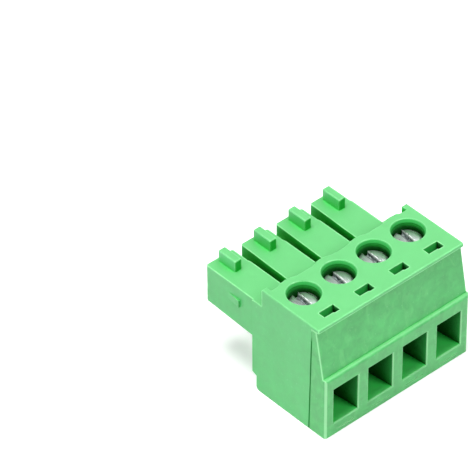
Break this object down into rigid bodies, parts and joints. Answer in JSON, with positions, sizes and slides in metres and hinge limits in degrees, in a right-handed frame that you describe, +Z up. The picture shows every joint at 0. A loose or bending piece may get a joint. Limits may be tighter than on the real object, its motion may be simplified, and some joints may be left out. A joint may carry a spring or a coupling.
{
  "type": "pluggable terminal block",
  "caption": "Plug half of a pluggable terminal block: moulded housing with fingers for a pin header, wire openings in a sloped cover, and slotted screws that lift clamp cages.",
  "frame": {"origin": "on the flat base, under the middle of the row of screw axes", "axes": "+X along the row of poles, +Y from the wire openings to the fingertips, +Z up towards the screw heads"},
  "size_m": [0.016, 0.0144, 0.0111],
  "materials": {
    "green_polyamide": "moulded, slightly glossy",
    "zinc_plated_steel": "bright zinc, scratched",
    "nickel_plated_brass": "nickel plated",
    "tinned_copper_alloy": "tinned"
  },
  "bodies": {
    "plug": {"housing": "green_polyamide", "wire_entry_cover": "green_polyamide", "contact_1": "tinned_copper_alloy", "contact_2": "tinned_copper_alloy", "contact_3": "tinned_copper_alloy", "contact_4": "tinned_copper_alloy"},
    "screw_1": {"clamp_screw_1": "zinc_plated_steel"},
    "cage_1": {"clamp_cage_1": "nickel_plated_brass"},
    "screw_2": {"clamp_screw_2": "zinc_plated_steel"},
    "cage_2": {"clamp_cage_2": "nickel_plated_brass"},
    "screw_3": {"clamp_screw_3": "zinc_plated_steel"},
    "cage_3": {"clamp_cage_3": "nickel_plated_brass"},
    "screw_4": {"clamp_screw_4": "zinc_plated_steel"},
    "cage_4": {"clamp_cage_4": "nickel_plated_brass"}
  },
  "joints": [
    {"name": "screw_turn_1", "type": "hinge", "parent": "plug", "child": "screw_1", "pos_m": [-0.00571, 0, 0.0098], "axis": [0, 0, -1], "range_deg": [0, 2160]},
    {"name": "cage_lift_1", "type": "slide", "parent": "plug", "child": "cage_1", "axis": [0, 0, 1], "range_m": [0, 0.0024]},
    {"name": "screw_turn_2", "type": "hinge", "parent": "plug", "child": "screw_2", "pos_m": [-0.00191, 0, 0.0098], "axis": [0, 0, -1], "range_deg": [0, 2160]},
    {"name": "cage_lift_2", "type": "slide", "parent": "plug", "child": "cage_2", "axis": [0, 0, 1], "range_m": [0, 0.0024]},
    {"name": "screw_turn_3", "type": "hinge", "parent": "plug", "child": "screw_3", "pos_m": [0.00191, 0, 0.0098], "axis": [0, 0, -1], "range_deg": [0, 2160]},
    {"name": "cage_lift_3", "type": "slide", "parent": "plug", "child": "cage_3", "axis": [0, 0, 1], "range_m": [0, 0.0024]},
    {"name": "screw_turn_4", "type": "hinge", "parent": "plug", "child": "screw_4", "pos_m": [0.00571, 0, 0.0098], "axis": [0, 0, -1], "range_deg": [0, 2160]},
    {"name": "cage_lift_4", "type": "slide", "parent": "plug", "child": "cage_4", "axis": [0, 0, 1], "range_m": [0, 0.0024]}
  ],
  "couplings": [
    {"joint": "screw_turn_1", "follows": "cage_lift_1", "rad_per_m": 15708},
    {"joint": "screw_turn_2", "follows": "cage_lift_2", "rad_per_m": 15708},
    {"joint": "screw_turn_3", "follows": "cage_lift_3", "rad_per_m": 15708},
    {"joint": "screw_turn_4", "follows": "cage_lift_4", "rad_per_m": 15708}
  ]
}
